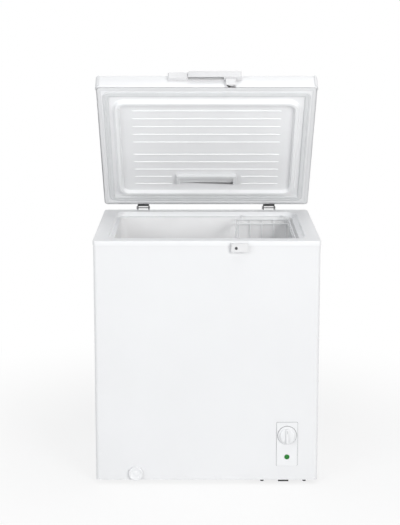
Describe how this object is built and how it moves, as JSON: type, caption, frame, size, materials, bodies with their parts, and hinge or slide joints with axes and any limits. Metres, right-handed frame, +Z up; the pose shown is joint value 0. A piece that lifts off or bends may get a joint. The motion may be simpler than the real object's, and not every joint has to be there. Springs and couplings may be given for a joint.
{
  "type": "chest freezer",
  "caption": "White chest freezer with a hinged top lid standing open, key lock, control panel, floor drain and a wire basket hanging inside.",
  "frame": {"origin": "on the floor, under the middle of the bounding box with the lid standing open", "axes": "+X to the right seen from the front, +Y to the hinges at the back, +Z up"},
  "size_m": [0.74, 0.6304, 1.3344],
  "materials": {
    "white_steel": "glossy enamel",
    "white_plastic": "satin moulded",
    "liner_white": "white enamelled embossed sheet",
    "lid_liner_white": "vacuum formed, satin",
    "collar_white": "satin moulded",
    "seal_grey": "soft vinyl",
    "galvanised": "galvanised sheet",
    "bright_steel": "zinc plated",
    "black_steel": "black enamel",
    "black_plastic": "moulded",
    "grey_plastic": "moulded",
    "black_rubber": "moulded",
    "copper": "drawn tube",
    "foam": "rigid insulation",
    "green_lens": "tinted, polished",
    "wire_white": "plastic coated wire"
  },
  "bodies": {
    "cabinet": {"outer_wrapper": "white_steel", "back_panel": "galvanised", "base_pan": "galvanised", "bay_bulkhead": "galvanised", "cabinet_foam": "foam", "inner_liner": "liner_white", "top_collar": "collar_white", "condenser_coil": "copper", "evaporator_coil": "copper", "compressor_deck": "black_steel", "deck_pad": "black_rubber", "deck_bolts": "black_steel", "compressor_shell": "black_steel", "compressor_base": "black_steel", "compressor_grommets": "black_rubber", "compressor_bolts": "bright_steel", "relay_cover": "black_plastic", "discharge_tube": "copper", "suction_tube": "copper", "filter_drier": "copper", "side_grille": "white_plastic", "rear_grille": "grey_plastic", "control_panel": "white_plastic", "thermostat_body": "bright_steel", "thermostat_bulb": "copper", "indicator_lens": "green_lens", "indicator_lamp": "grey_plastic", "wiring_harness": "black_plastic", "cord_gland": "black_rubber", "drain_tube": "white_plastic", "drain_spout": "white_plastic", "foot_front_left": "grey_plastic", "foot_front_right": "grey_plastic", "foot_back_left": "grey_plastic", "foot_back_right": "grey_plastic", "lock_housing": "white_plastic", "hinge_base_left": "bright_steel", "hinge_base_right": "bright_steel", "hinge_pin_left": "bright_steel", "hinge_pin_right": "bright_steel", "hinge_base_screws": "bright_steel"},
    "lid": {"hinge_leaf_left": "black_steel", "hinge_leaf_right": "black_steel", "hinge_leaf_screws": "bright_steel", "lid_outer_pan": "white_steel", "lid_foam": "foam", "lid_liner": "lid_liner_white", "lid_seal": "seal_grey", "lid_handle": "white_plastic", "lock_keeper": "white_plastic", "lid_cap_left": "white_plastic", "lid_cap_right": "white_plastic", "lid_bracket": "white_plastic"},
    "knob": {"temperature_knob": "white_plastic"},
    "latch": {"lock_barrel": "bright_steel", "latch_hook": "bright_steel"},
    "cap": {"drain_cap": "white_plastic"},
    "plug": {"drain_plug": "white_plastic"},
    "basket": {"hanging_basket": "wire_white"}
  },
  "joints": [
    {"name": "lid_hinge", "type": "hinge", "parent": "cabinet", "child": "lid", "pos_m": [0, 0.278, 0.817], "axis": [-1, 0, 0], "range_deg": [-54, 26]},
    {"name": "knob_turn", "type": "hinge", "parent": "cabinet", "child": "knob", "pos_m": [0.262, -0.2953, 0.168], "axis": [0, -1, 0], "range_deg": [-150, 150]},
    {"name": "lock_turn", "type": "hinge", "parent": "cabinet", "child": "latch", "pos_m": [0.093, -0.294, 0.793], "axis": [0, -1, 0], "range_deg": [0, 90]},
    {"name": "drain_cap_pull", "type": "slide", "parent": "cabinet", "child": "cap", "axis": [0, -1, 0], "range_m": [0, 0.03]},
    {"name": "drain_plug_lift", "type": "slide", "parent": "cabinet", "child": "plug", "axis": [0, 0, 1], "range_m": [0, 0.05]},
    {"name": "basket_slide", "type": "slide", "parent": "cabinet", "child": "basket", "axis": [-1, 0, 0], "range_m": [0, 0.38]}
  ]
}
